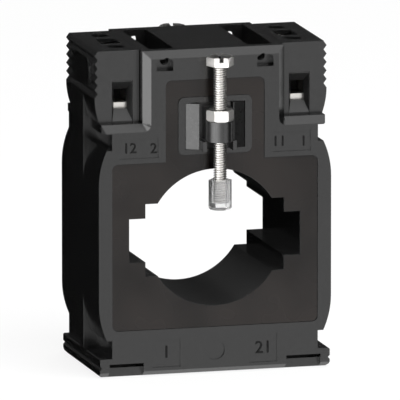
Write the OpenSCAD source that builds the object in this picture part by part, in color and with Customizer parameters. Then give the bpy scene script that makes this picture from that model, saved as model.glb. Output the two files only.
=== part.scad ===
// Window-type current transformer in a moulded case of two shells. A wound
// core sits round the window tube. Two double cage terminals stand on ledges
// under lift-off covers, and two locking screws with clear tips clamp the bar
// or cable that passes through the window.
// Millimetres. X runs across the case, Y from front to rear, Z up. The origin
// is the centre of the foot's underside. The rear repeats the front, turned
// half a turn about Z.

/* [Case] */
// Gap between winding and case at the sides
side_gap = 0.825; // [0.425:0.025:3]
// Depth of the case from front face to rear face
body_d = 42.2; // [42:0.2:60]
// Distance of the shells' joint in front of the middle
joint_off = 3.4; // [2.6:0.1:5]
// Wall thickness of both shells
wall = 2; // [1.6:0.1:2.4]
// Height of the foot
foot_h = 5.6; // [5.6:0.1:9]
// Height of the lower notch, between foot and wide body
low_notch_h = 5.4; // [5:0.1:8]
// Height of the upper notch, between wide body and ledge
top_notch_h = 4.9; // [4.5:0.1:8]
// Thickness of the ledges under the terminals
ledge_t = 2.4; // [2.2:0.1:4]
// Height of the towers and the column above the ledges
tower_h = 21.3; // [21:0.1:30]
// Depth of the notches in the front shell's sides
notch_d = 4; // [3:0.1:5]
// Depth of the notches in the rear shell's sides
rear_notch_d = 2.15; // [1:0.05:3]
// Radius of the round shoulders of the wide body
shoulder_r = 24.5; // [20:0.5:30]
// Height over which each shoulder curves in
shoulder_h = 10.4; // [6:0.1:14]
// Width of each terminal tower
tower_w = 13.63; // [13.5:0.01:16]
// Width of the bevel round the column and along the ledges
bevel = 2.1; // [0.8:0.1:2.6]
// Distance that the ledges stay inside the case's sides
ledge_in = 1.3; // [0.8:0.1:2]
// Width of the bevel on the ledges' ends
ledge_nip = 0.9; // [0.4:0.1:1.4]
// Distance that the foot stays inside the case's sides
foot_in = 0.35; // [0.2:0.05:1]
// Depth of the groove along each side of the foot
groove_d = 0.55; // [0.3:0.05:1]
// Height of that groove
groove_h = 1.2; // [0.6:0.1:2]
// Height of the groove's middle above the foot's middle
groove_up = 0.1; // [0:0.1:0.5]
// Width of the bevel along the foot's lower edges
foot_low_edge = 0.75; // [0.3:0.05:1]
// Width of the bevel along the foot's upper edges
foot_top_edge = 0.35; // [0.1:0.05:0.6]
// Height of the bevel along the front of the foot
foot_bevel_h = 1.5; // [0.8:0.1:2]
// Depth of that bevel
foot_bevel_d = 2.2; // [1:0.1:3]

/* [Joint rib] */
// Thickness of the rib that runs round the joint of the shells
rib_t = 3.9; // [2:0.1:5]
// Height of the tongues that guide the covers, above the ledges
tongue_h = 6.5; // [3:0.1:10]
// Thickness of the tongues
tongue_t = 2.2; // [1:0.1:2.2]

/* [Window] */
// Diameter of the round cable opening
cable_d = 40.5; // [30:0.5:41]
// Width of the long bar slot
long_slot_w = 51.55; // [44:0.05:52]
// Height of the long bar slot
long_slot_h = 12.93; // [8:0.01:16]
// Width of the tall bar slot
tall_slot_w = 41.78; // [38:0.02:44]
// Height of the tall bar slot
tall_slot_h = 21.45; // [18:0.05:26]
// Gap between winding and case under the window
low_gap = 0.52; // [0.3:0.02:2]
// Wall thickness of the window tube
tube_wall = 1.8; // [1.2:0.1:2]

/* [Face recesses] */
// Depth of the recess that holds the film
recess_d = 0.6; // [0.3:0.1:0.9]
// Thickness of the blank film in the recess
film_t = 0.25; // [0.15:0.05:0.3]
// Width of the recess's upper part
recess_top_w = 29.8; // [24:0.2:34]
// Distance of the recess from the case's sides
recess_side = 4; // [3:0.1:6]
// Distance of the recess's wide part from the wide body's top
recess_edge = 4.1; // [3:0.1:6]
// Height of the recess above the wide body's underside
recess_up = 2.65; // [2:0.05:4]
// Distance of the recess from the top of the case
recess_down = 8.65; // [8:0.05:10]
// Corner radius of the recess
recess_r = 1.8; // [1:0.1:3]
// Depth of the mark boxes
mark_d = 0.5; // [0.2:0.1:0.8]
// Distance of the upper mark boxes from the recess and the notches
mark_edge = 2.1; // [1.2:0.1:3]
// Height of the upper mark boxes
mark_h = 6.1; // [4:0.1:6.2]
// Distance that they reach below the wide body's top
mark_drop = 2.7; // [2:0.1:3.6]
// Width and height of the lower mark boxes
foot_mark = 8.4; // [6:0.1:8.4]
// Distance that the lower mark boxes reach below the foot's top
foot_mark_drop = 3.2; // [2:0.1:3.6]
// Diameter of the round mark between them
round_mark_d = 5.9; // [4:0.1:7]
// Height of its centre above the middle of the boxes
round_mark_up = 0.2; // [0:0.1:1]
// Width of the pockets for mounting feet
foot_pocket_w = 10.35; // [6:0.05:12]
// Height of those pockets
foot_pocket_h = 4; // [3:0.1:4.6]
// Depth of those pockets
foot_pocket_d = 2.2; // [1:0.1:3]
// Distance of those pockets from the foot's sides
foot_pocket_in = 2.8; // [2:0.1:4]
// Distance of the lower mark boxes from those pockets
foot_mark_gap = 2.7; // [1:0.1:4]
// Height of the deeper slot at the pockets' top
foot_slot_h = 1.4; // [0.8:0.1:2]
// Depth of that slot
foot_slot_d = 8; // [4:0.5:10]

/* [Top] */
// Width of the two accessory slots in the top
top_slot_w = 7.4; // [5:0.1:8]
// Distance of those slots' ends from the faces
top_slot_set = 5; // [4:0.1:8]
// Depth of those slots
top_slot_h = 7.8; // [6:0.1:10]
// Distance of the slots' centres from the column's sides
top_slot_in = 6.57; // [6:0.01:8]
// Width of the pockets in the faces beside the slots
latch_w = 5; // [3:0.1:6]
// Height of those pockets
latch_h = 3.5; // [2:0.1:4]
// Depth of those pockets
latch_d = 3.3; // [1:0.1:3.6]
// Radius of their upper corners
latch_r = 1.2; // [0.6:0.1:1.6]
// Distance of their lower edge from the top of the case
latch_down = 5.8; // [4:0.1:7]
// Distance of their centres outside the slots' centres
latch_out = 0.3; // [0:0.1:1]
// Diameter of the hole from each pocket into its slot
latch_hole_d = 2.6; // [1:0.1:3]
// Distance that the hole reaches above the pocket
latch_hole_rise = 0.4; // [0:0.1:1]

/* [Covers] */
// Distance of the terminal covers from the faces
cover_set = 4.9; // [2:0.1:5.4]
// Distance that the covers stay inside the case's sides
cover_in = 0.05; // [0:0.05:0.3]
// Wall thickness of the covers
cover_t = 1.2; // [1:0.1:1.4]
// Pitch of the grip ribs
rib_pitch = 2.5; // [1.8:0.1:3]
// Number of grip ribs
rib_count = 6; // [3:1:7]
// Depth of the grip ribs
rib_depth = 0.9; // [0.4:0.1:1]
// Distance of the first rib from the covers' top
rib_down = 1.3; // [1:0.1:2.4]
// Width of the bevel along the covers' top
cover_edge = 0.8; // [0.3:0.1:1]
// Amount that the side curves in below the ribs
side_taper = 1.35; // [0.6:0.05:1.4]
// Length of the smooth pad amid the ribs
pad_l = 19; // [12:0.5:24]
// Height of that pad
pad_h = 8.4; // [4:0.1:10]
// Diameter of the screwdriver holes
driver_hole_d = 5; // [4:0.1:5.2]
// Width of the opening over the plug blade
blade_hole_w = 5.7; // [3:0.1:6]
// Length of that opening
blade_hole_l = 8.2; // [7:0.1:9]

/* [Terminals] */
// Distance of the terminal axes from the column's sides
terminal_off = 5.3; // [5.2:0.1:5.8]
// Distance of the clamp screws from the carrier's ends
clamp_in = 5.6; // [5.4:0.1:5.8]
// Width of the wire funnel's mouth
mouth_w = 6.3; // [5:0.1:6.4]
// Height of the wire funnel's mouth
mouth_h = 12.4; // [11:0.1:13]
// Width of the wire hole
wire_w = 3.95; // [3:0.05:4]
// Height of the wire hole
wire_h = 5.9; // [4:0.1:6]
// Height of the wire hole above the ledge
wire_up = 3.7; // [3:0.1:4]
// Depth of the funnel
funnel_d = 2.3; // [1:0.1:2.6]
// Distance that the funnel's nose stays inside the cover
nose_in = 0.15; // [0:0.05:0.4]
// Thickness of the lip round the funnel's mouth
funnel_lip = 0.3; // [0.2:0.1:0.6]
// Distance of the carrier's top from the top of the case
block_down = 4.4; // [4:0.1:5]
// Clear width inside the cage
cage_w = 4.4; // [4:0.1:4.6]
// Wall thickness of the cage's sides and top
cage_t = 0.9; // [0.6:0.1:1]
// Thickness of the cage's lower jaw
jaw_t = 1.8; // [1:0.1:2]
// Length of the cage along the wire
cage_l = 6.6; // [5:0.1:6.8]
// Room round the cage in its well
cage_room = 0.3; // [0.2:0.05:0.4]
// Travel of the cage from open to shut
cage_travel = 3.5; // [2:0.1:3.5]
// Gap that stays between jaw and bar when the cage is shut
shut_gap = 0.8; // [0.3:0.1:2]
// Thickness of the terminal bar
bar_t = 1.2; // [0.8:0.1:1.6]
// Width of the terminal bar
bar_w = 3.8; // [3:0.1:4]
// Width of the plug blade
blade_w = 6.3; // [4.8:0.1:6.3]
// Thickness of the plug blade
blade_t = 0.8; // [0.5:0.1:1]
// Distance of the blade's top from the top of the case
blade_down = 2.6; // [2:0.1:5]
// Diameter of the clamp screws
clamp_screw_d = 3.4; // [2.5:0.1:3.6]
// Head diameter of the clamp screws
clamp_head_d = 5.2; // [5.1:0.1:5.6]
// Head height of the clamp screws
clamp_head_h = 2; // [1.5:0.1:2.4]
// Width of the slot in the clamp screws' heads
clamp_slot_w = 0.8; // [0.5:0.1:1.2]
// Depth of that slot
clamp_slot_d = 1; // [0.6:0.1:1.4]

/* [Locking screws] */
// Distance of the screw axes in front of the faces
screw_off = 5.3; // [5:0.1:7]
// Diameter of the locking screws
screw_d = 3.9; // [3:0.1:4]
// Length of the shank under the head
screw_l = 40.4; // [36:0.2:44]
// Distance of the head's top under the top of the case
head_down = 1.2; // [0:0.1:4]
// Height of the hexagon head
head_h = 2.7; // [2:0.1:3]
// Width of head and nut across the flats
hex_af = 7; // [6:0.1:7]
// Width of the slot in the head
slot_w = 1.2; // [0.8:0.1:1.6]
// Depth of that slot
slot_d = 1.35; // [0.8:0.05:1.8]
// Bevel on the corners of head, nut and tip
hex_edge = 0.4; // [0.2:0.1:0.6]
// Height of the nut
nut_h = 3.3; // [2.4:0.1:3.4]
// Turn of head and nut out of square with the case, in degrees
hex_turn = 8; // [0:1:30]
// Width of the bracket's pocket
bracket_w = 18; // [17:0.1:20]
// Height of the bracket's pocket
bracket_h = 13.65; // [13.6:0.05:16]
// Height of the pocket's lower edge above the wide body's top
bracket_up = -0.65; // [-1:0.05:0]
// Depth of the bracket's pocket
bracket_pocket_d = 1.2; // [0.8:0.1:1.3]
// Width of the rim beside the bracket
rim_w = 2.05; // [1:0.05:2.2]
// Width of the rim under the bracket
rim_low_w = 1.56; // [1:0.02:2]
// Width of the rim over the bracket
rim_top_w = 1.7; // [1:0.05:2]
// Depth of the bracket's base under the face
base_in = 0.3; // [0.1:0.1:0.5]
// Width of each flank at its foot
flank_w = 4.2; // [4.1:0.1:4.5]
// Distance of each flank's crest from the bracket's side
flank_in = 3.6; // [3:0.1:3.7]
// Width of that crest
flank_crest = 0.3; // [0.2:0.1:0.4]
// Height of the crests above the bracket's base
flank_h = 1.8; // [1:0.1:4.5]
// Distance of the wall behind the nut from the screw's axis
wall_set = 1.05; // [0.8:0.05:1.5]
// Diameter of the boss under the nut
boss_d = 7.9; // [7:0.1:8]
// Height of the boss above the bracket's lower edge
boss_up = 3.15; // [2:0.05:4]
// Height of the boss
boss_h = 5.95; // [5:0.05:7]
// Thickness of the legs beside the boss
leg_t = 1.1; // [0.8:0.1:1.2]
// Width of the clear tips across the corners
tip_d = 6.8; // [6:0.1:7.6]
// Length of the clear tips
tip_h = 8.6; // [6:0.1:10]
// Thickness of the tips' closed ends
tip_end = 1.85; // [1:0.05:3]

/* [Core and winding] */
// Gap between winding and case at the front and the rear
end_gap = 3.3; // [3:0.1:8]
// Thickness of the core's strip stack
core_t = 2.6; // [1.5:0.1:2.6]
// Thickness of the winding on each face of the core
winding_t = 0.8; // [0.4:0.1:0.8]
// Half width of the gap in the winding, where the leads start
lead_gap = 12; // [10:0.5:14]
// Diameter of the lead wires
lead_d = 1.8; // [1:0.1:2]
// Bend radius of the lead wires
lead_bend = 3; // [2:0.5:4]
// Room over the leads' bends, up to the ledges
lead_room = 1.73; // [0.5:0.01:8]

/* [Clearances] */
// Gap between winding and window tube
core_clear = 0.4; // [0.2:0.1:0.4]
// Gap round the covers, the blocks and the tongues
cover_clear = 0.2; // [0.1:0.05:0.3]
// Gap between film and recess, and round the bracket
inlay_clear = 0.1; // [0.05:0.05:0.2]
// Radial gap of threads, tips and other running fits
run_clear = 0.05; // [0.02:0.01:0.08]
// Gap round the locking screws in their bosses
bore_clear = 0.35; // [0.2:0.05:0.5]
// Gap round the leads where they pass through
lead_clear = 0.4; // [0.2:0.1:0.6]

/* [Hidden] */
$fn = 64;

overlap = 0.01;
past = 1;

// Core and winding, as half sizes of the ring round the window tube
tube_x = long_slot_w / 2 + tube_wall;
tube_z = cable_d / 2 + tube_wall;
ring_x = tube_x + core_clear;
ring_z = tube_z + core_clear;
ring_t = core_t + 2 * winding_t;
ring_r = ring_z - long_slot_h / 2 - tube_wall;
// Half widths and faces
half_w = ring_x + ring_t + side_gap + wall;
half_d = body_d / 2;
core_y = half_d - wall - end_gap - winding_t;
col_x = half_w - tower_w;
ledge_x = half_w - ledge_in;
foot_x = half_w - foot_in;
joint_y = -joint_off;
// Heights, from the foot up over the winding and the leads to the top
shell_z0 = foot_h + low_notch_h;
window_z = shell_z0 + wall + low_gap + ring_t + ring_z;
winding_top = window_z + ring_z + ring_t;
lead_z = winding_top + lead_d / 2 + run_clear;
ledge_z1 = lead_z + lead_bend + lead_room + wall;
ledge_z0 = ledge_z1 - ledge_t;
shell_z1 = ledge_z0 - top_notch_h;
top_z = ledge_z1 + tower_h;
// Face recesses
mark_x0 = recess_top_w / 2 + mark_edge;
mark_x1 = half_w - notch_d - mark_edge;
mark_z0 = shell_z1 - mark_drop;
foot_pocket_x = foot_x - foot_pocket_in - foot_pocket_w;
foot_mark_x = foot_pocket_x - foot_mark_gap - foot_mark;
foot_mark_z = foot_h - foot_mark_drop;
// Accessory slots
top_slot_x = col_x - top_slot_in;
top_slot_y = half_d - top_slot_set;
slot_floor = top_z - top_slot_h;
latch_z = top_z - latch_down;
latch_hole_up = latch_h - latch_hole_d / 2 + latch_hole_rise;
// Covers and terminals
cover_x0 = col_x + cover_clear;
cover_x1 = half_w - cover_in;
cover_z0 = ledge_z1;
cover_y = half_d - cover_set;
cover_in_x1 = cover_x1 - rib_depth - cover_t;
first_rib_z = top_z - rib_down;
last_rib_z = first_rib_z - (rib_count - 1) * rib_pitch;
terminal_x = col_x + terminal_off;
block_x0 = cover_x0;
block_x1 = cover_in_x1 - cover_clear;
block_y = cover_y - cover_t - cover_clear;
clamp_y = block_y - clamp_in;
block_z1 = top_z - block_down;
nose_y = cover_y - nose_in;
wire_z0 = ledge_z1 + wire_up;
bar_z0 = wire_z0 + wire_h + inlay_clear;
jaw_z1 = bar_z0 - shut_gap - cage_travel;
cage_z0 = jaw_z1 - jaw_t;
cage_in_z1 = bar_z0 + bar_t + cage_t;
cage_z1 = cage_in_z1 + cage_t + cage_room;
clamp_head_z = cage_z1 + cage_travel + cover_clear;
// Locking screws
screw_y = -half_d - screw_off;
head_z1 = top_z - head_down;
head_z0 = head_z1 - head_h;
screw_z0 = head_z0 - screw_l;
hex_r = hex_af / 2 / cos(30);
bracket_z0 = shell_z1 + bracket_up;
bracket_z1 = bracket_z0 + bracket_h;
boss_z0 = bracket_z0 + boss_up;
nut_z0 = boss_z0 + boss_h;
tip_z0 = screw_z0 - run_clear - tip_end;
// Start of the leads, at the winding's ends
lead_drop = lead_z - winding_top + winding_t;
lead_x0 = lead_gap - lead_d / 2;

// Extrudes an outline drawn in X and Z from y0 back to y1.
module slab(y0, y1)
    translate([0, y1, 0]) rotate([90, 0, 0]) linear_extrude(y1 - y0) children();

// Extrudes an outline drawn in Y and Z from x0 to x1.
module beam(x0, x1)
    translate([x0, 0, 0]) rotate([90, 0, 90]) linear_extrude(x1 - x0) children();

// Extrudes an outline drawn in X and Y from z0 up to z1.
module tall(z0, z1)
    translate([0, 0, z0]) linear_extrude(z1 - z0) children();

module box(x0, x1, y0, y1, z0, z1)
    translate([x0, y0, z0]) cube([x1 - x0, y1 - y0, z1 - z0]);

module rect(x0, x1, z0, z1)
    translate([x0, z0]) square([x1 - x0, z1 - z0]);

module round_rect(x0, x1, z0, z1, r) {
    rect(x0 + r, x1 - r, z0, z1);
    rect(x0, x1, z0 + r, z1 - r);
    for (x = [x0 + r, x1 - r], z = [z0 + r, z1 - r])
        translate([x, z]) circle(r = r);
}

// Repeats its children on the left and the right.
module both_sides()
    for (side = [0, 1]) mirror([side, 0, 0]) children();

// Outline of the window, grown by g on every side.
module window_outline(g) {
    translate([0, window_z]) {
        circle(r = cable_d / 2 + g, $fn = 96);
        square([long_slot_w + 2 * g, long_slot_h + 2 * g], center = true);
        square([tall_slot_w + 2 * g, tall_slot_h + 2 * g], center = true);
    }
}

// Wide body with round shoulders, drawn in by i.
module wide_outline(i) {
    z0 = shell_z0 + shoulder_h;
    z1 = shell_z1 - shoulder_h;
    intersection() {
        rect(-half_w, half_w, shell_z0 + i, shell_z1 - i);
        union() {
            for (side = [-1, 1], z = [z0, z1])
                translate([side * (half_w - shoulder_r), z]) circle(r = shoulder_r - i, $fn = 128);
            rect(-half_w + i, half_w - i, z0, z1);
            rect(shoulder_r - half_w, half_w - shoulder_r, shell_z0, shell_z1);
        }
    }
}

// Foot with a groove along each side and a chamfered lower edge.
module foot_outline() {
    mid = foot_h / 2 + groove_up;
    side = [[foot_x - foot_low_edge, 0], [foot_x, foot_low_edge], [foot_x, mid - groove_h / 2],
            [foot_x - groove_d, mid], [foot_x, mid + groove_h / 2],
            [foot_x, foot_h - foot_top_edge], [foot_x - foot_top_edge, foot_h]];
    mirrored = [for (i = [len(side) - 1:-1:0]) [-side[i][0], side[i][1]]];
    polygon(concat(side, mirrored));
}

module case_outline(notch) {
    wide_outline(0);
    foot_outline();
    rect(-half_w + notch, half_w - notch, foot_h - overlap, ledge_z1);
    rect(-ledge_x, ledge_x, ledge_z0, ledge_z1);
    rect(-col_x, col_x, ledge_z0, top_z);
}

// Hollow of a shell: wide body, neck up to the ledges, and column.
module hollow_outline(notch) {
    neck = half_w - notch - wall;
    wide_outline(wall);
    rect(-neck, neck, foot_h + wall, ledge_z1 - wall);
    rect(-col_x + wall, col_x - wall, shell_z0 + wall, slot_floor - wall);
}

// T-shaped recess round the window, with the bracket's rim left standing.
module recess_outline(i) {
    x = half_w - recess_side - i;
    top = recess_top_w / 2 - i;
    difference() {
        union() {
            round_rect(-x, x, shell_z0 + recess_up + i, shell_z1 - recess_edge - i, recess_r);
            round_rect(-top, top, window_z, top_z - recess_down - i, recess_r);
        }
        rim_outline(i);
    }
}

// Outline of the rim round the bracket, grown by g on every side.
module rim_outline(g) {
    x = bracket_w / 2 + rim_w + g;
    round_rect(-x, x, bracket_z0 - rim_low_w - g, bracket_z1 + rim_top_w + g, recess_r);
}

// Everything cut into the front face; the rear face repeats it.
module face_cuts() {
    front = -half_d;
    // bevels up the column and along the ledges, with a round corner where they meet
    both_sides() {
        tall(ledge_z1, top_z + past)
            polygon([[col_x - bevel - past, front - past], [col_x, front + bevel],
                     [half_w + past, front + bevel], [half_w + past, front - past]]);
        beam(col_x, half_w + past)
            polygon([[front - past, ledge_z1 - bevel - past], [front + bevel, ledge_z1],
                     [front + bevel, ledge_z1 + past], [front - past, ledge_z1 + past]]);
        translate([col_x, front + bevel, ledge_z1]) rotate([90, 0, 0])
            cylinder(r1 = 0, r2 = bevel + past, h = bevel + past);
    }
    // bevels along the top and the bottom
    beam(-half_w, half_w)
        polygon([[front - past, top_z - bevel - past], [front + bevel + past, top_z + past],
                 [front - past, top_z + past]]);
    rise = past * foot_bevel_h / foot_bevel_d;
    beam(-half_w, half_w)
        polygon([[front - past, foot_bevel_h + rise], [front + foot_bevel_d + past, -rise],
                 [front - past, -rise]]);
    // ends of the ledge
    both_sides() tall(ledge_z0 - overlap, ledge_z1 + overlap)
        polygon([[ledge_x - ledge_nip, front - overlap], [ledge_x + overlap, front + bevel],
                 [half_w, front + bevel], [half_w, front - overlap]]);
    // film recess, mark boxes and the round mark
    slab(front - past, front + recess_d) recess_outline(0);
    slab(front - past, front + mark_d) {
        both_sides() rect(mark_x0, mark_x1, mark_z0, mark_z0 + mark_h);
        both_sides() rect(foot_mark_x, foot_mark_x + foot_mark, foot_mark_z, foot_mark_z + foot_mark);
        translate([0, foot_mark_z + foot_mark / 2 + round_mark_up]) circle(d = round_mark_d);
    }
    // pocket of the bracket
    slab(front - past, front + bracket_pocket_d)
        rect(-bracket_w / 2, bracket_w / 2, bracket_z0, bracket_z1);
    // pockets for mounting feet, each with a deeper slot at its top
    both_sides() {
        slab(front - past, front + foot_pocket_d)
            rect(foot_pocket_x, foot_pocket_x + foot_pocket_w, -past, foot_pocket_h);
        slab(front - past, front + foot_slot_d)
            rect(foot_pocket_x, foot_pocket_x + foot_pocket_w, foot_pocket_h - foot_slot_h, foot_pocket_h);
    }
    // latch pockets and their holes into the accessory slots
    both_sides() {
        slab(front - past, front + latch_d)
            translate([top_slot_x + latch_out, latch_z]) latch_outline();
        slab(front - past, 0)
            translate([top_slot_x - latch_out, latch_z + latch_hole_up]) circle(d = latch_hole_d);
    }
}

// Latch pocket: square below, round corners above.
module latch_outline() {
    rect(-latch_w / 2, latch_w / 2, 0, latch_h - latch_r);
    round_rect(-latch_w / 2, latch_w / 2, 0, latch_h, latch_r);
}

module top_slots()
    both_sides() box(top_slot_x - top_slot_w / 2, top_slot_x + top_slot_w / 2,
                     -top_slot_y, top_slot_y, slot_floor, top_z + past);

module front_shell() {
    color("#4a4a4a") difference() {
        slab(-half_d, joint_y) case_outline(notch_d);
        slab(-half_d + wall, joint_y + past) hollow_outline(notch_d);
        slab(-half_d - past, joint_y + past) window_outline(0);
        face_cuts();
        top_slots();
    }
}

// Rear shell, with the window tube, the rib round the joint and the tongues.
module rear_shell() {
    color("#4a4a4a") difference() {
        union() {
            difference() {
                union() {
                    slab(joint_y, half_d) case_outline(rear_notch_d);
                    slab(joint_y, joint_y + rib_t) rect(-half_w, half_w, foot_h - overlap, ledge_z1);
                    both_sides() slab(joint_y, joint_y + rib_t)
                        rect(half_w - tongue_t, half_w, ledge_z0, ledge_z1 + tongue_h);
                }
                slab(joint_y - past, half_d - wall) hollow_outline(rear_notch_d);
            }
            slab(-half_d + wall, half_d) window_outline(tube_wall);
        }
        slab(-half_d - past, half_d + past) window_outline(0);
        rotate([0, 0, 180]) face_cuts();
        top_slots();
        both_sides() translate([terminal_x, 0, ledge_z0 - past])
            cylinder(d = lead_d + 2 * lead_clear, h = ledge_t + 2 * past);
    }
}

// Blank film that lies on the floor of the recess.
module film() {
    color("#3a3532") slab(-half_d + recess_d - film_t, -half_d + recess_d) difference() {
        recess_outline(inlay_clear);
        window_outline(inlay_clear);
    }
}

// Ring round the window tube, from t0 to t1 outside the tube's clearance.
module ring_outline(t0, t1) {
    translate([0, window_z]) difference() {
        x1 = ring_x + t1;
        z1 = ring_z + t1;
        x0 = ring_x + t0;
        z0 = ring_z + t0;
        round_rect(-x1, x1, -z1, z1, ring_r + t1);
        round_rect(-x0, x0, -z0, z0, ring_r + t0);
    }
}

module wound_core() {
    color("#9a9c9e") slab(-core_y, core_y)
        ring_outline(winding_t + run_clear, winding_t + core_t - run_clear);
}

// Winding round the core, open over the lead gap at the top.
module secondary_winding() {
    color("#b06a3a") difference() {
        slab(-core_y - winding_t, core_y + winding_t) ring_outline(0, ring_t);
        slab(-core_y, core_y) ring_outline(winding_t, winding_t + core_t);
        box(-lead_gap, lead_gap, -half_d, half_d, window_z, ledge_z0);
    }
}

// Lead from the winding's end, along its top and up through the ledge.
module lead() {
    color("#7a2a20") {
        translate([terminal_x, 0, lead_z + lead_bend])
            cylinder(d = lead_d, h = bar_z0 - lead_z - lead_bend);
        translate([terminal_x - lead_bend, 0, lead_z + lead_bend]) rotate([-90, 0, 0])
            rotate_extrude(angle = 90) translate([lead_bend, 0]) circle(d = lead_d);
        translate([lead_x0, 0, lead_z]) rotate([0, 90, 0])
            cylinder(d = lead_d, h = terminal_x - lead_bend - lead_x0);
        translate([lead_x0, 0, lead_z - lead_drop]) cylinder(d = lead_d, h = lead_drop);
        translate([lead_x0, 0, lead_z]) sphere(d = lead_d);
    }
}

// Funnel that leads a wire into the cage, as a tapered rectangular hole.
module funnel() {
    face = -nose_y;
    lip = funnel_lip;
    w = mouth_w / 2;
    intersection() {
        tall(ledge_z1, top_z)
            polygon([[terminal_x - w, face - lip], [terminal_x + w, face - lip],
                     [terminal_x + wire_w / 2, face + funnel_d], [terminal_x - wire_w / 2, face + funnel_d]]);
        beam(block_x0, block_x1)
            polygon([[face - lip, ledge_z1 + inlay_clear], [face - lip, ledge_z1 + mouth_h],
                     [face + funnel_d, wire_z0 + wire_h], [face + funnel_d, wire_z0]]);
    }
    box(terminal_x - wire_w / 2, terminal_x + wire_w / 2, face + funnel_d - overlap, -clamp_y,
        wire_z0, wire_z0 + wire_h);
}

// Carrier of one pair of cages: funnel noses, cage wells and the bar's seat.
module terminal_block() {
    nose = mouth_w / 2 - cover_clear / 2;
    well = cage_w / 2 + cage_t + cage_room;
    color("#1c1c1a") difference() {
        union() {
            box(block_x0, block_x1, -block_y, block_y, ledge_z1, block_z1);
            both_faces_of(terminal_x)
                box(terminal_x - nose, terminal_x + nose, -nose_y, 0, ledge_z1,
                    ledge_z1 + mouth_h - cover_clear / 2);
        }
        both_faces_of(terminal_x) {
            funnel();
            box(terminal_x - well, terminal_x + well, -clamp_y - cage_l / 2 - cage_room,
                -clamp_y + cage_l / 2 + cage_room, cage_z0 - cage_room, block_z1 + past);
        }
        box(terminal_x - bar_w / 2 - run_clear, terminal_x + bar_w / 2 + run_clear, -clamp_y, clamp_y,
            bar_z0, block_z1 + past);
        box(terminal_x - blade_hole_w / 2, terminal_x + blade_hole_w / 2, -blade_hole_l / 2,
            blade_hole_l / 2, bar_z0 + bar_t, block_z1 + past);
        translate([terminal_x, 0, ledge_z1 - past]) cylinder(d = lead_d + 2 * lead_clear, h = tower_h);
    }
}

// Repeats its children at the front and the rear of the tower at x.
module both_faces_of(x)
    for (turn = [0, 180]) translate([x, 0, 0]) rotate([0, 0, turn]) translate([-x, 0, 0]) children();

// Bar through both cages, with an upright plug blade in the middle.
module terminal_bar() {
    end = clamp_y + (cage_l + cage_room) / 2;
    color("#c9c4b8") {
        box(terminal_x - bar_w / 2, terminal_x + bar_w / 2, -end, end, bar_z0, bar_z0 + bar_t);
        box(terminal_x - blade_t / 2, terminal_x + blade_t / 2, -blade_w / 2, blade_w / 2,
            bar_z0, top_z - blade_down);
    }
}

// Side of the cover in X and Z: grip ribs above, then a curve drawn in.
module cover_outline() {
    ribs = [for (i = [0:rib_count - 1]) each
            [[cover_x1 - rib_depth, first_rib_z - (i - 0.5) * rib_pitch], [cover_x1, first_rib_z - i * rib_pitch]]];
    drop = last_rib_z - cover_z0;
    curve = [for (i = [1:8]) let (t = i / 8) [cover_x1 - side_taper * t * t, last_rib_z - drop * t]];
    polygon(concat([[cover_x0, cover_z0], [cover_x0, top_z], [cover_x1 - cover_edge, top_z]],
                   [for (p = ribs) if (p[1] < top_z) p], curve));
}

// Lift-off cover, open to the column, with grip ribs, wire slots and holes for
// the screwdriver.
module cover() {
    slot_x = mouth_w / 2;
    color("#464646") difference() {
        union() {
            slab(-cover_y, cover_y) cover_outline();
            pad_z = first_rib_z - (rib_count - 1) * rib_pitch / 2;
            beam(cover_x1 - 2 * rib_depth, cover_x1)
                round_rect(-pad_l / 2, pad_l / 2, pad_z - pad_h / 2, pad_z + pad_h / 2, pad_h / 2 - overlap);
        }
        box(cover_x0 - past, cover_in_x1, -cover_y + cover_t, cover_y - cover_t,
            cover_z0 - past, top_z - cover_t);
        box(terminal_x - slot_x, terminal_x + slot_x, -cover_y - past, cover_y + past,
            cover_z0 - past, ledge_z1 + mouth_h);
        box(half_w - tongue_t - cover_clear, half_w + past, joint_y - cover_clear,
            joint_y + rib_t + cover_clear, cover_z0 - past, ledge_z1 + tongue_h + cover_clear);
        for (y = [-clamp_y, clamp_y]) translate([terminal_x, y, top_z - cover_t - past])
            cylinder(d = driver_hole_d, h = cover_t + 2 * past);
        box(terminal_x - blade_hole_w / 2, terminal_x + blade_hole_w / 2, -blade_hole_l / 2,
            blade_hole_l / 2, top_z - cover_t - past, top_z + past);
    }
}

// Cage of the front clamp: lower jaw, two sides and a threaded top.
module cage() {
    x = cage_w / 2;
    color("#d8d8d6") translate([terminal_x, -clamp_y, 0]) difference() {
        box(-x - cage_t, x + cage_t, -cage_l / 2, cage_l / 2, cage_z0, cage_z1);
        box(-x, x, -cage_l / 2 - past, cage_l / 2 + past, jaw_z1, cage_in_z1);
        translate([0, 0, cage_in_z1 - past])
            cylinder(d = clamp_screw_d + 2 * run_clear, h = cage_z1 - cage_in_z1 + 2 * past);
    }
}

// Captive screw that turns on the bar and draws the cage up.
module clamp_screw() {
    foot = bar_z0 + bar_t + run_clear;
    head_r = clamp_head_d / 2;
    color("#d4d4d2") translate([terminal_x, -clamp_y, 0]) difference() {
        union() {
            translate([0, 0, foot]) cylinder(d = clamp_screw_d, h = clamp_head_z - foot + overlap);
            translate([0, 0, clamp_head_z]) cylinder(r = head_r, h = clamp_head_h);
        }
        box(-clamp_slot_w / 2, clamp_slot_w / 2, -head_r - past, head_r + past,
            clamp_head_z + clamp_head_h - clamp_slot_d, clamp_head_z + clamp_head_h + past);
    }
}

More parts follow.
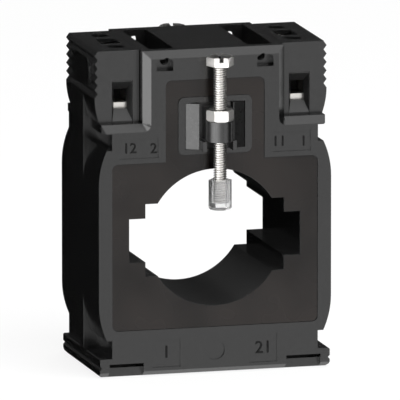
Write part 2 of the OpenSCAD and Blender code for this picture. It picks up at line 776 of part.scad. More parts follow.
// Bracket in the face's pocket: two flanks, and a boss that carries the nut.
module bracket() {
    x = bracket_w / 2 - inlay_clear;
    z0 = bracket_z0 + inlay_clear;
    z1 = bracket_z1 - inlay_clear;
    floor_y = -half_d + bracket_pocket_d;
    base_y = -half_d + base_in;
    foot_y = base_y + overlap;
    crest_y = foot_y - flank_h;
    wall_y = screw_y + wall_set;
    core_x = boss_d / 2;
    color("#2e2e2e") difference() {
        union() {
            tall(z0, z1) {
                polygon([[-x, floor_y], [x, floor_y], [x, base_y], [-x, base_y]]);
                both_sides() polygon([[x, foot_y], [x - flank_in, crest_y],
                                      [x - flank_in - flank_crest, crest_y], [x - flank_w, foot_y]]);
            }
            box(-core_x, core_x, wall_y, foot_y, boss_z0, nut_z0 + nut_h + cover_clear);
            translate([0, screw_y, boss_z0]) cylinder(r = core_x, h = boss_h);
            both_sides() box(core_x, core_x + leg_t, screw_y, foot_y, z0, boss_z0 - cover_clear);
        }
        translate([0, screw_y, boss_z0 - past])
            cylinder(d = screw_d + 2 * bore_clear, h = boss_h + 2 * past);
        translate([0, screw_y, nut_z0]) rotate([0, 0, -hex_turn])
            cylinder(r = hex_r + inlay_clear, h = nut_h + past, $fn = 6);
    }
}

// Hexagon prism with bevelled corners, turned a little as it was tightened.
module hex_prism(r, z0, z1, low, high) {
    h = z1 - z0;
    wide = r + overlap;
    translate([0, 0, z0]) rotate([0, 0, -hex_turn]) intersection() {
        cylinder(r = r, h = h, $fn = 6);
        rotate_extrude()
            polygon([[0, 0], [r - low, 0], [wide, low], [wide, h - high], [r - high, h], [0, h]]);
    }
}

module nut() {
    color("#dcdcdc") translate([0, screw_y, 0]) difference() {
        hex_prism(hex_r, nut_z0, nut_z0 + nut_h, hex_edge, hex_edge);
        translate([0, 0, nut_z0 - past]) cylinder(d = screw_d + 2 * run_clear, h = nut_h + 2 * past);
    }
}

// Slotted hexagon-head screw, standing upright in front of the face.
module locking_screw() {
    end = screw_d / 8;
    color("#dcdcdc") translate([0, screw_y, 0]) {
        translate([0, 0, screw_z0 + end]) cylinder(d = screw_d, h = screw_l - end + overlap);
        translate([0, 0, screw_z0]) cylinder(d1 = screw_d - 2 * end, d2 = screw_d, h = end + overlap);
        difference() {
            hex_prism(hex_r, head_z0, head_z1, 0, hex_edge);
            rotate([0, 0, -hex_turn])
                box(-slot_w / 2, slot_w / 2, -hex_af, hex_af, head_z1 - slot_d, head_z1 + past);
        }
    }
}

// Clear hexagonal tip that presses on the bar, pushed over the screw's end.
module tip() {
    color("#d8e0e0", 0.5) translate([0, screw_y, 0]) difference() {
        hex_prism(tip_d / 2, tip_z0, tip_z0 + tip_h, hex_edge, 0);
        translate([0, 0, tip_z0 + tip_end]) cylinder(d = screw_d + 2 * run_clear, h = tip_h);
    }
}

module at_left() mirror([1, 0, 0]) children();
module at_rear() rotate([0, 0, 180]) children();

front_shell();
rear_shell();
film();  // front_film
at_rear() film();  // rear_film
wound_core();
secondary_winding();
at_left() lead();  // left_lead
lead();  // right_lead
at_left() terminal_block();  // left_terminal_block
terminal_block();  // right_terminal_block
at_left() terminal_bar();  // left_terminal_bar
terminal_bar();  // right_terminal_bar
at_left() cover();  // left_cover
cover();  // right_cover
at_left() cage();  // left_front_cage
at_rear() cage();  // left_rear_cage
cage();  // right_front_cage
at_rear() at_left() cage();  // right_rear_cage
at_left() clamp_screw();  // left_front_clamp_screw
at_rear() clamp_screw();  // left_rear_clamp_screw
clamp_screw();  // right_front_clamp_screw
at_rear() at_left() clamp_screw();  // right_rear_clamp_screw
bracket();  // front_bracket
at_rear() bracket();  // rear_bracket
nut();  // front_nut
at_rear() nut();  // rear_nut
locking_screw();  // front_locking_screw
at_rear() locking_screw();  // rear_locking_screw
tip();  // front_tip
at_rear() tip();  // rear_tip
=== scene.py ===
"""Finishes, threads, numbers and stage for a window-type current transformer."""

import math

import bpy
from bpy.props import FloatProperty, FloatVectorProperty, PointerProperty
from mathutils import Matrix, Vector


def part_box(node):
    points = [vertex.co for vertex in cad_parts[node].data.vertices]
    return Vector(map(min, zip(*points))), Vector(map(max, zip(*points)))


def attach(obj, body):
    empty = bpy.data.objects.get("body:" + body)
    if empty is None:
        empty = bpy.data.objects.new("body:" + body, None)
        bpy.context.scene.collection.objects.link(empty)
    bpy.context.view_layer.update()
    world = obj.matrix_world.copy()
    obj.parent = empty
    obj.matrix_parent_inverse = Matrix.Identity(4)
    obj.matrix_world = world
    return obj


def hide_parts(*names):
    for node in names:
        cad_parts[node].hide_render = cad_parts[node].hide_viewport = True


bl_info = {
    "name": "Current transformer",
    "version": (1, 0, 0),
    "blender": (4, 5, 0),
    "location": "View3D > Sidebar > Transformer",
    "description": "Dresses the current transformer and sets its stage",
    "category": "Object",
}

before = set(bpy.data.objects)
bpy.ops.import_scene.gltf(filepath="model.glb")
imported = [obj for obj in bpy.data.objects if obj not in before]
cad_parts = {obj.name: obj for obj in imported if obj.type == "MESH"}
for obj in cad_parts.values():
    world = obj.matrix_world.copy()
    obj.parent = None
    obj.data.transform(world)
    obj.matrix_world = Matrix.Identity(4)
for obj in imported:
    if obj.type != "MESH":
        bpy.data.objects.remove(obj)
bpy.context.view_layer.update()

MM = 0.001
SIDES = ("left", "right")
FACES = ("front", "rear")
LENGTH = {"unit": "LENGTH", "subtype": "DISTANCE", "precision": 5}
ANGLE = {"unit": "ROTATION", "subtype": "ANGLE"}

# Share of a font's size that its capitals take up
CAP_SHARE = 0.7
# Text, place in millimetres and relative height of the number at each spot on a face
NUMBERS = {
    "upper_left_outer": ("12", -25.6, 67.5, 1.0),
    "upper_left_inner": ("2", -18.4, 67.2, 1.0),
    "upper_right_inner": ("11", 19.4, 67.5, 1.0),
    "upper_right_outer": ("1", 26.8, 67.2, 1.0),
    "lower_left": ("1", -14.6, 6.7, 1.2),
    "lower_right": ("21", 14.7, 6.6, 1.2),
}

# Values between which the noise texture mostly stays
NOISE_RANGE = (0.3, 0.7)
# Distance within which vertices of the thread are one
MERGE = 0.001 * MM
# Faces in one turn of the thread, and in the round bevel of the screws' heads
THREAD_FACES = 40
HEAD_FACES = 96

# Soft boxes for the reflections: azimuth, elevation, edge and core in degrees, and strength
SOFT_BOXES = (
    (-100, -11, 24, 0, 1.6),
    (-77, -11, 24, 0, 4.3),
    (-54, -11, 24, 0, 4.5),
    (-31, -11, 24, 0, 3.9),
    (-8, -11, 24, 0, 1.35),
    (15, -11, 24, 0, 0.9),
    (38, -11, 24, 0, 2.0),
    (115, -11, 23, 0, 2.3),
    (165, 14, 34, 10, 0.037),
    (-168, 24, 22, 5, 0.07),
    (-60, 45, 38, 15, 5.0),
    (10, 35, 30, 0, 4.3),
    (54, 71, 30, 0, 2.1),
    (126, -76, 38, 12, 1.5),
    (10, -43, 30, 0, 3.3),
)
# Strength of the reflections everywhere else
REFLECTED_REST = 0.004
# Fill light on matt surfaces, from above and from behind, in the same form
FILL_BOXES = ((0, 90, 50, 10, 1.8), (155, 5, 42, 10, 4.0))
# Place, aim and size of the key lamp in metres
KEY_PLACE = (0.25, -0.45, 0.75)
KEY_AIM = (0, 0, 0.04)
KEY_SIZE = 0.7
# Width of the floor in metres, its gap under the foot, and how far it is plain white to the camera
FLOOR_WIDTH = 12
FLOOR_GAP = 0.02 * MM
FLOOR_WHITE = 0.84
# Point in the middle of the picture, and width of the camera's sensor, in millimetres
VIEW_CENTRE = (1.16, 0, 47.28)
SENSOR_WIDTH = 36


def rgb(code):
    """Linear colour of an sRGB hex value."""
    parts = [int(code[i:i + 2], 16) / 255 for i in (1, 3, 5)]
    return tuple(c / 12.92 if c <= 0.04045 else ((c + 0.055) / 1.055) ** 2.4 for c in parts)


def colour(label, text, code):
    """A colour property, given as an sRGB hex value."""
    return FloatVectorProperty(name=label, description=text, default=rgb(code),
                               subtype="COLOR", size=3, min=0, max=1)


def length(label, text, millimetres):
    """A length property, given in millimetres."""
    return FloatProperty(name=label, description=text, default=millimetres * MM, min=0, **LENGTH)


def angle(label, text, degrees):
    """An angle property, given in degrees."""
    return FloatProperty(name=label, description=text, default=math.radians(degrees), **ANGLE)


def share(label, text, value):
    """A property from 0 to 1."""
    return FloatProperty(name=label, description=text, default=value, min=0, max=1,
                         subtype="FACTOR")


class CaseFinish(bpy.types.PropertyGroup):
    """Colours and gloss of the moulded pieces, and the softness of their edges."""

    plastic: colour("Case plastic", "Colour of the shells and the covers", "#131313")
    film: colour("Film", "Colour of the blank gloss film in the recess", "#1e1815")
    carrier: colour("Carriers", "Colour of the terminal carriers", "#0a0a0a")
    bracket: colour("Brackets", "Colour of the brackets that hold the nuts", "#181818")
    clear: colour("Clear tips", "Tint of the clear tips", "#ffffff")
    case_roughness: share("Case roughness", "Roughness of the shells and the covers", 0.22)
    carrier_roughness: share("Carrier roughness", "Roughness of the terminal carriers", 0.45)
    bracket_roughness: share("Bracket roughness", "Roughness of the brackets", 0.3)
    edge: length("Edge radius", "Radius of the moulded edges", 0.05)
    grain: length("Grain", "Size of the moulded grain", 0.3)
    funnel: length("Funnel", "Depth to which the carriers' wire funnels are glossy", 4.0)


class MetalFinish(bpy.types.PropertyGroup):
    """Colours of the metal pieces and the leads, and sizes of the locking screws."""

    zinc: colour("Zinc plating", "Colour of screws and nuts", "#dbd9d6")
    cage: colour("Cages", "Colour of the cages, whose plating is dull", "#b4b2ae")
    tin: colour("Tinned brass", "Colour of the terminal bars", "#cfc8b6")
    copper: colour("Enamelled copper", "Colour of the winding", "#a0522a")
    steel: colour("Strip steel", "Colour of the core's strip", "#85888b")
    insulation: colour("Lead insulation", "Colour of the winding's leads", "#6e1f18")
    pitch: length("Thread pitch", "Pitch of the locking screws' thread", 0.7)
    shank: length("Shank", "Diameter over the thread's crests", 3.9)
    thread_depth: length("Thread depth", "Depth of the thread", 0.42)
    head: length("Head height", "Height of the hexagon head", 2.7)
    flats: length("Across flats", "Width of the hexagon head across its flats", 7.0)
    slot_width: length("Slot width", "Width of the slot in the head", 1.2)
    slot_depth: length("Slot depth", "Depth of the slot in the head", 1.35)
    corner: length("Corner bevel", "Bevel on the head's corners", 0.4)
    turn: angle("Turn", "Turn of the heads out of square with the case", -8)


class MarkFinish(bpy.types.PropertyGroup):
    """Plain numbers in the recessed boxes on both faces."""

    paint: colour("Paint", "Colour of the numbers", "#0c0c0c")
    height: length("Height", "Height of the numbers", 3.0)
    relief: length("Relief", "Height of the numbers above the boxes' floors", 0.3)
    box_depth: length("Box depth", "Depth of the boxes under the face", 0.5)


class StageFinish(bpy.types.PropertyGroup):
    """Camera, light and floor."""

    floor: colour("Floor", "Colour of the floor", "#f2f2f2")
    azimuth: angle("Azimuth", "Camera's angle round the part", -15.29)
    elevation: angle("Elevation", "Camera's angle above the floor", 10.79)
    view_width: length("View width", "Width of what the picture shows", 116.8)
    lens: FloatProperty(name="Lens", description="Focal length", default=1650, min=1,
                        unit="CAMERA")
    key: FloatProperty(name="Key light", description="Power of the key light", default=8.0, min=0,
                       unit="POWER")


def add_node(tree, kind, values=None, **settings):
    """Adds a node, with its settings, and with a value or a link for each named socket."""
    node = tree.nodes.new(kind)
    for name, value in settings.items():
        setattr(node, name, value)
    for name, value in (values or {}).items():
        if isinstance(value, bpy.types.NodeSocket):
            tree.links.new(value, node.inputs[name])
        else:
            node.inputs[name].default_value = value
    return node


def new_material(name):
    """An empty node material and its tree, with Object coordinates."""
    material = bpy.data.materials.new(name)
    material.use_nodes = True
    tree = material.node_tree
    tree.nodes.clear()
    place = add_node(tree, "ShaderNodeTexCoord").outputs["Object"]
    return material, tree, place


def finish_material(material, tree, **shader):
    """Puts the shader and the output on a material."""
    values = {name.replace("_", " "): value for name, value in shader.items()}
    surface = add_node(tree, "ShaderNodeBsdfPrincipled", values)
    add_node(tree, "ShaderNodeOutputMaterial", {"Surface": surface.outputs["BSDF"]})
    return material


def speckle(tree, place, size, low, high, detail=2.0, stretch=(1, 1, 1)):
    """Noise with spots of one real size, as a value from low to high."""
    moved = add_node(tree, "ShaderNodeMapping", {"Vector": place, "Scale": stretch})
    noise = add_node(tree, "ShaderNodeTexNoise", {
        "Vector": moved.outputs["Vector"], "Scale": 1 / size, "Detail": detail})
    value = add_node(tree, "ShaderNodeMapRange", {
        "Value": noise.outputs["Fac"], "From Min": NOISE_RANGE[0], "From Max": NOISE_RANGE[1],
        "To Min": low, "To Max": high})
    return value.outputs["Result"]


def tones(tree, factor, tint, low, high):
    """Colour that varies over the surface from a darker to a lighter tone of one tint."""
    dark, light = ([min(1.0, part * level) for part in tint] + [1.0] for level in (low, high))
    mix = add_node(tree, "ShaderNodeMix", {0: factor, 6: dark, 7: light}, data_type="RGBA")
    return mix.outputs[2]


def bumped(tree, height, depth, edge=0.0):
    """Normal from a height from 0 to 1 over a real depth, with edges rounded to a real radius."""
    values = {"Height": height, "Distance": depth, "Strength": 1.0}
    if edge:
        rounded = add_node(tree, "ShaderNodeBevel", {"Radius": edge}, samples=6)
        values["Normal"] = rounded.outputs["Normal"]
    return add_node(tree, "ShaderNodeBump", values).outputs["Normal"]


def moulded_plastic(name, tint, roughness, look, inside_y=0.0):
    """Black polycarbonate or polyamide, moulded in a spark-eroded tool: an even fine grain
    that spreads each highlight, with faint clouds where the melt flowed. Walls closer to the
    middle of the depth than inside_y are dull, as the tool is left coarse there."""
    material, tree, place = new_material(name)
    pits = speckle(tree, place, look.grain, 0, 1)
    clouds = speckle(tree, place, 14 * MM, 0, 1)
    gloss = speckle(tree, place, 2.5 * look.grain, roughness - 0.03, roughness + 0.03)
    if inside_y:
        side = add_node(tree, "ShaderNodeSeparateXYZ", {"Vector": place}).outputs["Y"]
        off_middle = add_node(tree, "ShaderNodeMath", {0: side}, operation="ABSOLUTE")
        fade = add_node(tree, "ShaderNodeMapRange", {
            "Value": off_middle.outputs["Value"], "From Min": inside_y,
            "From Max": inside_y + 0.2 * MM, "To Min": 1.0, "To Max": gloss})
        gloss = fade.outputs["Result"]
    return finish_material(
        material, tree, Base_Color=tones(tree, clouds, tint, 0.92, 1.08), Roughness=gloss,
        Normal=bumped(tree, pits, 0.0013 * MM, look.edge), IOR=1.52)


def gloss_film(tint):
    """Gloss polyester film over printed ink: smooth and a little cloudy, with a slight wave
    from the glue."""
    material, tree, place = new_material("gloss_film")
    wave = speckle(tree, place, 5 * MM, 0, 1, detail=1)
    clouds = speckle(tree, place, 25 * MM, 0, 1)
    return finish_material(
        material, tree, Base_Color=tones(tree, clouds, tint, 0.55, 1.25),
        Roughness=speckle(tree, place, 22 * MM, 0.14, 0.32),
        Normal=bumped(tree, wave, 0.01 * MM), IOR=1.57, Specular_IOR_Level=0.24)


def number_paint(tint):
    """Matt pad-print paint: dark, with a slightly uneven film."""
    material, tree, place = new_material("number_paint")
    film = speckle(tree, place, 0.4 * MM, 0, 1)
    return finish_material(
        material, tree, Base_Color=tones(tree, film, tint, 0.8, 1.3),
        Roughness=speckle(tree, place, 0.8 * MM, 0.45, 0.6),
        Normal=bumped(tree, film, 0.002 * MM), Specular_IOR_Level=0.15)


def zinc_coat(material, tree, place, tone, edge):
    """Bright zinc plating in a given tone: a pale mirror, a little uneven, with fine rub marks."""
    rubs = speckle(tree, place, 0.5 * MM, 0, 1, detail=4, stretch=(1, 1, 0.3))
    return finish_material(
        material, tree, Metallic=1.0, Base_Color=tone,
        Roughness=speckle(tree, place, 0.8 * MM, 0.28, 0.36),
        Normal=bumped(tree, rubs, 0.001 * MM, edge))


def zinc_plate(name, tint):
    """Zinc-plated steel of the nuts, clamp screws and cages: even, with soft edges."""
    material, tree, place = new_material(name)
    tone = tones(tree, speckle(tree, place, 3 * MM, 0, 1), tint, 0.93, 1.04)
    return zinc_coat(material, tree, place, tone, 0.1 * MM)


def zinc_thread_with_painted_root_shade(metal, axis_y):
    """Zinc-plated steel of the locking screws, with painted shade that darkens the thread's roots,
    by the distance from the axis of the screw that is nearer."""
    material, tree, place = new_material("zinc_thread_with_painted_root_shade")
    parts = add_node(tree, "ShaderNodeSeparateXYZ", {"Vector": place}).outputs
    side = add_node(tree, "ShaderNodeMath", {0: parts["Y"]}, operation="ABSOLUTE")
    flat = add_node(tree, "ShaderNodeCombineXYZ", {"X": parts["X"], "Y": side.outputs["Value"]})
    out = add_node(tree, "ShaderNodeVectorMath",
                   {0: flat.outputs["Vector"], 1: (0, axis_y, 0)}, operation="DISTANCE")
    crest = metal.shank / 2
    # Painted shade: the base colour darkens from the crests down to the thread's roots, where
    # shade falls.
    root_shade = add_node(tree, "ShaderNodeMapRange", {
        "Value": out.outputs["Value"], "From Min": crest - 0.9 * metal.thread_depth,
        "From Max": crest, "To Min": 0.0, "To Max": 1.0})
    tone = tones(tree, root_shade.outputs["Result"], metal.zinc, 0.58, 1.0)
    return zinc_coat(material, tree, place, tone, 0.05 * MM)


def tinned_brass(tint):
    """Brass strip with dull tin on it: warm grey, with rolling marks along the strip."""
    material, tree, place = new_material("tinned_brass")
    marks = speckle(tree, place, 0.4 * MM, 0, 1, detail=3, stretch=(1, 0.1, 1))
    return finish_material(
        material, tree, Metallic=1.0, Base_Color=tones(tree, marks, tint, 0.88, 1.0),
        Roughness=speckle(tree, place, 1.5 * MM, 0.3, 0.42),
        Normal=bumped(tree, marks, 0.004 * MM))


def clear_polycarbonate(tint):
    """Clear polycarbonate, moulded and polished: bends what is behind it, with faint flow
    lines. It bends light less than the real 1.58, so that the thread inside shows."""
    material, tree, place = new_material("clear_polycarbonate")
    flow = speckle(tree, place, 3 * MM, 0, 1, detail=1)
    return finish_material(
        material, tree, Base_Color=tones(tree, flow, tint, 0.97, 1.0),
        Roughness=speckle(tree, place, 2 * MM, 0.05, 0.09),
        Normal=bumped(tree, flow, 0.004 * MM), IOR=1.22, Transmission_Weight=0.78)


def strip_steel(tint):
    """Grain-oriented silicon steel, rolled and wound: blue-grey with crystals 6 mm wide."""
    material, tree, place = new_material("strip_steel")
    crystals = add_node(tree, "ShaderNodeTexVoronoi", {"Vector": place, "Scale": 1 / (6 * MM)})
    return finish_material(
        material, tree, Metallic=1.0,
        Base_Color=tones(tree, crystals.outputs["Distance"], tint, 0.85, 1.1),
        Roughness=speckle(tree, place, 0.6 * MM, 0.35, 0.45))


def enamelled_copper(tint):
    """Copper wire under clear enamel, wound side by side: one ridge for each wire, with painted
    shade in the grooves between the wires.
    """
    material, tree, place = new_material("enamelled_copper")
    wire_radius = 0.16 * MM
    wires = add_node(tree, "ShaderNodeTexWave", {
        "Vector": place, "Scale": 1 / (2 * math.pi * wire_radius), "Distortion": 0.6,
        "Detail": 1.0}, wave_type="BANDS", bands_direction="X")
    height = wires.outputs["Fac"]
    # Painted shade: the base colour follows the ridges and is darker in the grooves between the
    # wires.
    return finish_material(
        material, tree, Metallic=1.0, Base_Color=tones(tree, height, tint, 0.6, 1.1),
        Roughness=speckle(tree, place, 1 * MM, 0.3, 0.4),
        Normal=bumped(tree, height, 0.06 * MM), Coat_Weight=0.6, Coat_Roughness=0.12)


def wire_insulation(tint):
    """Soft vinyl insulation, extruded: satin, with faint lengthwise drag lines."""
    material, tree, place = new_material("wire_insulation")
    drag = speckle(tree, place, 0.3 * MM, 0, 1, stretch=(1, 1, 0.15))
    return finish_material(
        material, tree, Base_Color=tones(tree, drag, tint, 0.85, 1.0),
        Roughness=speckle(tree, place, 1 * MM, 0.4, 0.5), Normal=bumped(tree, drag, 0.004 * MM))


def dress(name, material):
    """Gives a CAD node its material."""
    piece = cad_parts[name]
    piece.data.materials.clear()
    piece.data.materials.append(material)


def only(piece):
    """Makes a piece the one selected and active object."""
    bpy.ops.object.select_all(action="DESELECT")
    piece.select_set(True)
    bpy.context.view_layer.objects.active = piece


def pick(piece, wanted):
    """Enters edit mode with only those vertices selected whose place passes a test."""
    only(piece)
    bpy.ops.object.mode_set(mode="EDIT")
    bpy.ops.mesh.select_all(action="DESELECT")
    bpy.ops.object.mode_set(mode="OBJECT")
    for vertex in piece.data.vertices:
        vertex.select = wanted(vertex.co)
    bpy.ops.object.mode_set(mode="EDIT")


def settle(piece):
    """Puts a piece's place, turn and size into its mesh."""
    only(piece)
    bpy.ops.object.transform_apply(location=True, rotation=True, scale=True)


def cut(piece, other, operation):
    """Cuts a piece with another, or joins the two, and removes the other."""
    only(piece)
    tool = piece.modifiers.new("Cut", "BOOLEAN")
    tool.operation = operation
    tool.solver = "EXACT"
    tool.object = other
    bpy.ops.object.modifier_apply(modifier=tool.name)
    bpy.data.objects.remove(other)


def trim(height, above):
    """In edit mode, cuts all off above or below a height, and closes the end."""
    bpy.ops.mesh.select_all(action="SELECT")
    bpy.ops.mesh.bisect(plane_co=(0, 0, height), plane_no=(0, 0, 1), use_fill=True,
                        clear_outer=above, clear_inner=not above, threshold=0.1 * MERGE)


def model_thread(radius, depth, pitch, low, high):
    """Threaded rod round the Z axis, from one height to another, with flat ends."""
    flat, flank = pitch / 8, 5 * pitch / 16
    profile = [(0, flat), (depth, flank), (0, flat), (-depth, flank), (0, flat)]
    bpy.ops.object.select_all(action="DESELECT")
    bpy.ops.mesh.primitive_plane_add(size=depth, location=(radius - depth, 0, low - 1.5 * pitch))
    rod = bpy.context.object
    bpy.ops.object.transform_apply(location=True)
    bpy.ops.object.mode_set(mode="EDIT")
    bpy.ops.mesh.select_all(action="SELECT")
    bpy.ops.mesh.merge(type="CENTER")
    for out, up in profile:
        bpy.ops.mesh.extrude_vertices_move(TRANSFORM_OT_translate={"value": (out, 0, up)})
    bpy.ops.object.mode_set(mode="OBJECT")
    turn = rod.modifiers.new("Turn", "SCREW")
    turn.steps = turn.render_steps = THREAD_FACES
    turn.screw_offset = pitch
    turn.iterations = math.ceil((high - low) / pitch) + 3
    turn.use_merge_vertices = True
    turn.merge_threshold = MERGE
    bpy.ops.object.modifier_apply(modifier=turn.name)
    bpy.ops.object.mode_set(mode="EDIT")
    bpy.ops.mesh.select_all(action="SELECT")
    bpy.ops.mesh.remove_doubles(threshold=MERGE)
    trim(low, above=False)
    trim(high, above=True)
    bpy.ops.mesh.select_all(action="SELECT")
    bpy.ops.mesh.normals_make_consistent(inside=False)
    bpy.ops.object.mode_set(mode="OBJECT")
    return rod


def model_head(metal, high):
    """Hexagon head round the Z axis, with bevelled corners, a slot and softened edges."""
    corner = metal.flats / 2 / math.cos(math.radians(30))
    middle = (0, 0, high - metal.head / 2)
    bpy.ops.object.select_all(action="DESELECT")
    bpy.ops.mesh.primitive_cylinder_add(vertices=6, radius=corner, depth=metal.head,
                                        location=middle,
                                        rotation=(0, 0, math.radians(30) + metal.turn))
    head = bpy.context.object
    settle(head)
    bpy.ops.mesh.primitive_cylinder_add(vertices=HEAD_FACES, radius=corner, depth=metal.head,
                                        location=middle)
    dome = bpy.context.object
    pick(dome, lambda place: place.z > 0)
    bpy.ops.mesh.bevel(offset=metal.corner, segments=1)
    bpy.ops.object.mode_set(mode="OBJECT")
    settle(dome)
    cut(head, dome, "INTERSECT")
    bpy.ops.mesh.primitive_cube_add(size=1, location=(0, 0, high),
                                    scale=(metal.slot_width, 4 * corner, 2 * metal.slot_depth),
                                    rotation=(0, 0, metal.turn))
    slot = bpy.context.object
    settle(slot)
    cut(head, slot, "DIFFERENCE")
    only(head)
    soft = head.modifiers.new("Soft", "BEVEL")
    soft.width = 0.1 * MM
    soft.segments = 2
    soft.limit_method = "ANGLE"
    soft.angle_limit = math.radians(25)
    bpy.ops.object.modifier_apply(modifier=soft.name)
    return head


def model_screw(metal, low, high):
    """Slotted hexagon-head screw round the Z axis."""
    into_head = 0.3 * MM
    screw = model_thread(metal.shank / 2, metal.thread_depth, metal.pitch, low,
                         high - metal.head + into_head)
    cut(screw, model_head(metal, high), "UNION")
    only(screw)
    bpy.ops.object.shade_smooth_by_angle(angle=math.radians(28))
    return screw


def model_number(text, height, relief):
    """Upright number, centred on the origin, facing the front."""
    bpy.ops.object.select_all(action="DESELECT")
    bpy.ops.object.text_add(rotation=(math.radians(90), 0, 0))
    number = bpy.context.object
    number.data.body = text
    number.data.size = height / CAP_SHARE
    number.data.align_x = "CENTER"
    number.data.align_y = "CENTER"
    number.data.extrude = relief / 2
    number.data.resolution_u = 4
    bpy.ops.object.convert(target="MESH")
    return bpy.context.object


class TRANSFORMER_OT_case(bpy.types.Operator):
    """Finish the shells, covers, films, carriers, brackets and clear tips"""

    bl_idname = "transformer.case"
    bl_label = "Case"

    def execute(self, context):
        look = context.scene.case_finish
        plastic = moulded_plastic("case_polycarbonate", look.plastic, look.case_roughness, look)
        carrier = moulded_plastic("carrier_polyamide", look.carrier, look.carrier_roughness, look,
                                  inside_y=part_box("left_terminal_block")[1].y - look.funnel)
        bracket = moulded_plastic("bracket_polyamide", look.bracket, look.bracket_roughness, look)
        film = gloss_film(look.film)
        clear = clear_polycarbonate(look.clear)
        for face in FACES:
            dress(f"{face}_shell", plastic)
            dress(f"{face}_film", film)
            dress(f"{face}_bracket", bracket)
            dress(f"{face}_tip", clear)
        for side in SIDES:
            dress(f"{side}_cover", plastic)
            dress(f"{side}_terminal_block", carrier)
        return {"FINISHED"}


class TRANSFORMER_OT_coil(bpy.types.Operator):
    """Finish the core, the winding and its leads"""

    bl_idname = "transformer.coil"
    bl_label = "Core and winding"

    def execute(self, context):
        look = context.scene.metal_finish
        dress("wound_core", strip_steel(look.steel))
        dress("secondary_winding", enamelled_copper(look.copper))
        insulation = wire_insulation(look.insulation)
        for side in SIDES:
            dress(f"{side}_lead", insulation)
        return {"FINISHED"}


class TRANSFORMER_OT_terminals(bpy.types.Operator):
    """Finish the cages, clamp screws, terminal bars and nuts"""

    bl_idname = "transformer.terminals"
    bl_label = "Terminals and nuts"

    def execute(self, context):
        look = context.scene.metal_finish
        zinc = zinc_plate("zinc_plate", look.zinc)
        cage = zinc_plate("dull_zinc_plate", look.cage)
        tin = tinned_brass(look.tin)
        for side in SIDES:
            dress(f"{side}_terminal_bar", tin)
            for face in FACES:
                dress(f"{side}_{face}_cage", cage)
                dress(f"{side}_{face}_clamp_screw", zinc)
        for face in FACES:
            dress(f"{face}_nut", zinc)
        return {"FINISHED"}


class TRANSFORMER_OT_locking_screws(bpy.types.Operator):
    """Model the threaded locking screws at the front and the rear"""

    bl_idname = "transformer.locking_screws"
    bl_label = "Locking screws"

    def execute(self, context):
        look = context.scene.metal_finish
        low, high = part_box("front_locking_screw")
        front = model_screw(look, low.z, high.z)
        front.data.materials.clear()
        front.data.materials.append(zinc_thread_with_painted_root_shade(look, -(low.y + high.y) / 2))
        rear = front.copy()
        rear.data = front.data.copy()
        rear.rotation_euler.z = math.pi
        context.collection.objects.link(rear)
        for face, screw in zip(FACES, (front, rear)):
            low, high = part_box(f"{face}_locking_screw")
            screw.name = f"{face}_threaded_screw"
            screw.location.y = (low.y + high.y) / 2
            settle(screw)
            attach(screw, f"{face}_locking_screw")
            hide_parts(f"{face}_locking_screw")
        return {"FINISHED"}


class TRANSFORMER_OT_marks(bpy.types.Operator):
    """Raise plain numbers in the recessed boxes"""

    bl_idname = "transformer.marks"
    bl_label = "Numbers"

    def execute(self, context):
        look = context.scene.mark_finish
        ink = number_paint(look.paint)
        number_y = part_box("front_shell")[0].y + look.box_depth - look.relief / 2
        for face in FACES:
            for spot, (text, x, z, size) in NUMBERS.items():
                number = model_number(text, size * look.height, look.relief)
                number.location = (x * MM, number_y, z * MM)
                settle(number)
                number.rotation_euler.z = math.pi if face == "rear" else 0
                settle(number)
                number.name = f"{face}_{spot}_number"
                number.data.materials.clear()
                number.data.materials.append(ink)
                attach(number, "case")
        return {"FINISHED"}


class TRANSFORMER_OT_stage(bpy.types.Operator):
    """Set the floor, the light and the camera"""

    bl_idname = "transformer.stage"
    bl_label = "Stage"

    def execute(self, context):
        look = context.scene.stage_finish
        set_floor(look)
        set_world(context.scene)
        set_key_lamp(look)
        set_camera(context.scene, look)
        context.scene.view_settings.view_transform = "Standard"
        return {"FINISHED"}


def set_floor(look):
    """Pale floor that is nearly white to the camera and keeps a soft shadow."""
    bpy.ops.object.select_all(action="DESELECT")
    bpy.ops.mesh.primitive_plane_add(size=FLOOR_WIDTH, location=(0, 0, -FLOOR_GAP))
    floor = bpy.context.object
    floor.name = "floor"
    floor.visible_diffuse = False
    floor.visible_glossy = False
    material, tree, _ = new_material("pale_floor")
    matt = add_node(tree, "ShaderNodeBsdfDiffuse", {"Color": (*look.floor, 1)})
    glow = add_node(tree, "ShaderNodeEmission", {"Color": (1, 1, 1, 1), "Strength": 1.0})
    rays = add_node(tree, "ShaderNodeLightPath")
    white = add_node(tree, "ShaderNodeMath", {0: rays.outputs["Is Camera Ray"], 1: FLOOR_WHITE},
                     operation="MULTIPLY")
    mixed = add_node(tree, "ShaderNodeMixShader", {
        0: white.outputs["Value"], 1: matt.outputs["BSDF"], 2: glow.outputs["Emission"]})
    add_node(tree, "ShaderNodeOutputMaterial", {"Surface": mixed.outputs["Shader"]})
    floor.data.materials.append(material)


def towards(azimuth, elevation):
    """Direction at an angle round from the front and an angle above the floor, in radians."""
    reach = math.cos(elevation)
    return Vector((math.sin(azimuth) * reach, -math.cos(azimuth) * reach, math.sin(elevation)))


def soft_box(tree, direction, azimuth, elevation, edge, core, strength):
    """Light from round one direction, as a value that fades from the core to the edge."""
    dot = add_node(tree, "ShaderNodeVectorMath",
                   {0: direction, 1: towards(math.radians(azimuth), math.radians(elevation))},
                   operation="DOT_PRODUCT")
    fade = add_node(tree, "ShaderNodeMapRange", {
        "Value": dot.outputs["Value"], "From Min": math.cos(math.radians(edge)),
        "From Max": math.cos(math.radians(core)), "To Min": 0.0, "To Max": strength},
        interpolation_type="SMOOTHSTEP")
    return fade.outputs["Result"]


def total(tree, values):
    """The sum of several values."""
    amount = values[0]
    for value in values[1:]:
        added = add_node(tree, "ShaderNodeMath", {0: amount, 1: value}, operation="ADD")
        amount = added.outputs["Value"]
    return amount


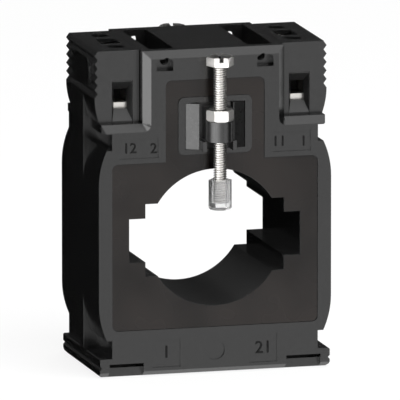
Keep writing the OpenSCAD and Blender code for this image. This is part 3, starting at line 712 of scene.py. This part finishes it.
def set_world(scene):
    """White to the camera, and a soft studio round the part for its reflections."""
    world = bpy.data.worlds.new("studio")
    scene.world = world
    world.use_nodes = True
    world.cycles.sampling_method = "NONE"
    tree = world.node_tree
    tree.nodes.clear()
    direction = add_node(tree, "ShaderNodeTexCoord").outputs["Generated"]
    rays = add_node(tree, "ShaderNodeLightPath").outputs
    reflected = total(tree, [soft_box(tree, direction, *box) for box in SOFT_BOXES]
                      + [REFLECTED_REST])
    fill = total(tree, [soft_box(tree, direction, *box) for box in FILL_BOXES])
    studio = add_node(tree, "ShaderNodeMix", {0: rays["Is Diffuse Ray"], 2: reflected, 3: fill})
    seen = add_node(tree, "ShaderNodeMath",
                    {0: rays["Is Camera Ray"], 1: rays["Is Transmission Ray"]},
                    operation="MAXIMUM")
    amount = add_node(tree, "ShaderNodeMix",
                      {0: seen.outputs["Value"], 2: studio.outputs[0], 3: 1.0})
    light = add_node(tree, "ShaderNodeBackground",
                     {"Color": (1, 1, 1, 1), "Strength": amount.outputs[0]})
    add_node(tree, "ShaderNodeOutputWorld", {"Surface": light.outputs["Background"]})


def set_key_lamp(look):
    """Large soft lamp from the front and above, for the shadow on the floor."""
    bpy.ops.object.light_add(type="AREA", location=KEY_PLACE)
    key = bpy.context.object
    key.name = "key_lamp"
    key.data.size = KEY_SIZE
    key.data.energy = look.key
    aim = Vector(KEY_PLACE) - Vector(KEY_AIM)
    key.rotation_euler = aim.to_track_quat("Z", "Y").to_euler()
    key.visible_glossy = False
    key.visible_camera = False


def set_camera(scene, look):
    """Long lens at the photograph's angle, so the lines stay parallel."""
    data = bpy.data.cameras.new("camera")
    camera = bpy.data.objects.new("camera", data)
    scene.collection.objects.link(camera)
    data.lens = look.lens
    data.sensor_width = SENSOR_WIDTH
    distance = look.lens * look.view_width / SENSOR_WIDTH
    back = towards(look.azimuth, look.elevation)
    camera.location = Vector(VIEW_CENTRE) * MM + back * distance
    camera.rotation_euler = back.to_track_quat("Z", "Y").to_euler()
    data.clip_start = 0.5 * distance
    data.clip_end = 3 * distance
    scene.camera = camera


class TRANSFORMER_PT_panel(bpy.types.Panel):
    """Lists the finishes and their operators"""

    bl_label = "Current transformer"
    bl_idname = "TRANSFORMER_PT_panel"
    bl_space_type = "VIEW_3D"
    bl_region_type = "UI"
    bl_category = "Transformer"

    def draw(self, context):
        for operator in OPERATORS:
            self.layout.operator(operator.bl_idname)
        for name in GROUPS:
            group = getattr(context.scene, name)
            box = self.layout.box()
            for item in group.bl_rna.properties:
                if item.identifier not in ("rna_type", "name"):
                    box.prop(group, item.identifier)


GROUPS = {"case_finish": CaseFinish, "metal_finish": MetalFinish, "mark_finish": MarkFinish,
          "stage_finish": StageFinish}
OPERATORS = (TRANSFORMER_OT_case, TRANSFORMER_OT_coil, TRANSFORMER_OT_terminals,
             TRANSFORMER_OT_locking_screws, TRANSFORMER_OT_marks, TRANSFORMER_OT_stage)


def register():
    """Adds the classes and the scene's property groups."""
    for item in (*GROUPS.values(), *OPERATORS, TRANSFORMER_PT_panel):
        bpy.utils.register_class(item)
    for name, group in GROUPS.items():
        setattr(bpy.types.Scene, name, PointerProperty(type=group))


def unregister():
    """Removes what register added."""
    for name in GROUPS:
        delattr(bpy.types.Scene, name)
    for item in (TRANSFORMER_PT_panel, *reversed(OPERATORS), *reversed(tuple(GROUPS.values()))):
        bpy.utils.unregister_class(item)


def main():
    """Builds everything."""
    register()
    bpy.ops.transformer.case()
    bpy.ops.transformer.coil()
    bpy.ops.transformer.terminals()
    bpy.ops.transformer.locking_screws()
    bpy.ops.transformer.marks()
    bpy.ops.transformer.stage()


if __name__ == "__main__":
    main()
